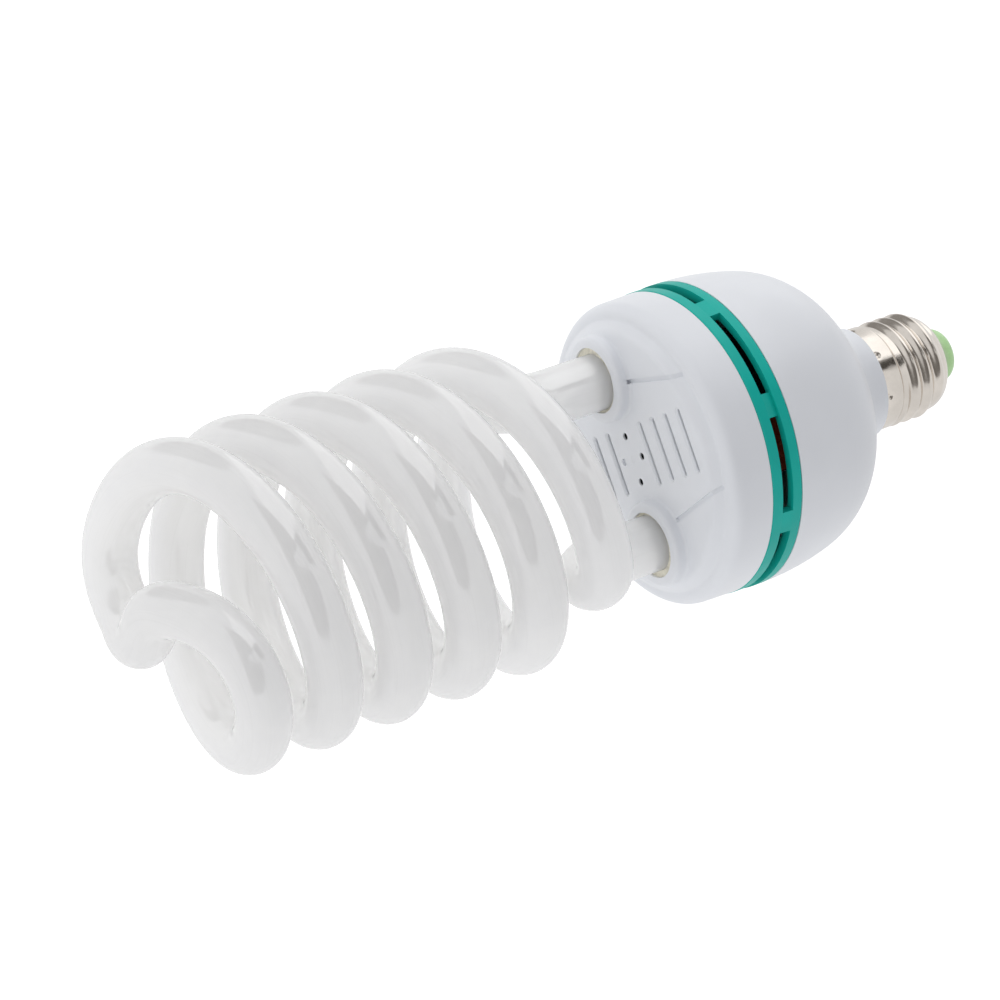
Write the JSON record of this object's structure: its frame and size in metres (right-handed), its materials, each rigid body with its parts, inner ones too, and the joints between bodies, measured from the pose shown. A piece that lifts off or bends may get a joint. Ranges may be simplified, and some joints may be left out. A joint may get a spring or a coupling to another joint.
{
  "type": "photo studio bulb",
  "caption": "Spiral compact fluorescent studio lamp: a white double-helix tube on a ballast housing with a vented ring and a 27 mm Edison screw cap.",
  "frame": {"origin": "centre of the end contact's face, on the lamp's axis", "axes": "+Z along the lamp's axis from the screw cap to the spiral's tip, the legs of the tube stand on the X axis"},
  "size_m": [0.079, 0.079, 0.2335],
  "materials": {
    "phosphor_glass": "gloss, opaque white inside coat",
    "white_plastic": "satin",
    "teal_plastic": "satin",
    "plated_shell": "bright plated",
    "green_insulator": "satin",
    "contact_metal": "satin",
    "solder": "dull",
    "cement": "matt",
    "board_laminate": "matt",
    "capacitor_sleeve": "gloss sleeve",
    "ferrite": "matt",
    "bobbin_plastic": "matt",
    "copper_wire": "enamelled",
    "moulded_black": "matt",
    "film_red": "dipped gloss",
    "resistor_enamel": "satin",
    "tinned_wire": "bright",
    "lead_sleeve_red": "satin",
    "lead_sleeve_blue": "satin"
  },
  "bodies": {
    "root": {"spiral_tube": "phosphor_glass", "tube_cover": "white_plastic", "rear_housing": "white_plastic", "vent_ring": "teal_plastic", "screw_shell": "plated_shell", "cap_insulator": "green_insulator", "centre_contact": "contact_metal", "contact_solder": "solder", "leg_cement_a": "cement", "leg_cement_b": "cement", "ballast_board": "board_laminate", "smoothing_capacitor": "capacitor_sleeve", "choke_core": "ferrite", "choke_bobbin": "bobbin_plastic", "choke_winding": "copper_wire", "drive_core": "ferrite", "drive_windings": "copper_wire", "power_transistor_a": "moulded_black", "power_transistor_b": "moulded_black", "resonance_capacitor": "film_red", "coupling_capacitor": "film_red", "filter_core": "ferrite", "filter_winding": "copper_wire", "rectifier_diodes": "moulded_black", "fuse_resistor": "resistor_enamel", "start_thermistor": "film_red", "trigger_diode": "resistor_enamel", "base_resistors": "resistor_enamel", "wire_posts": "tinned_wire", "tube_leads": "tinned_wire", "live_lead": "lead_sleeve_red", "neutral_lead": "lead_sleeve_blue"}
  },
  "joints": []
}
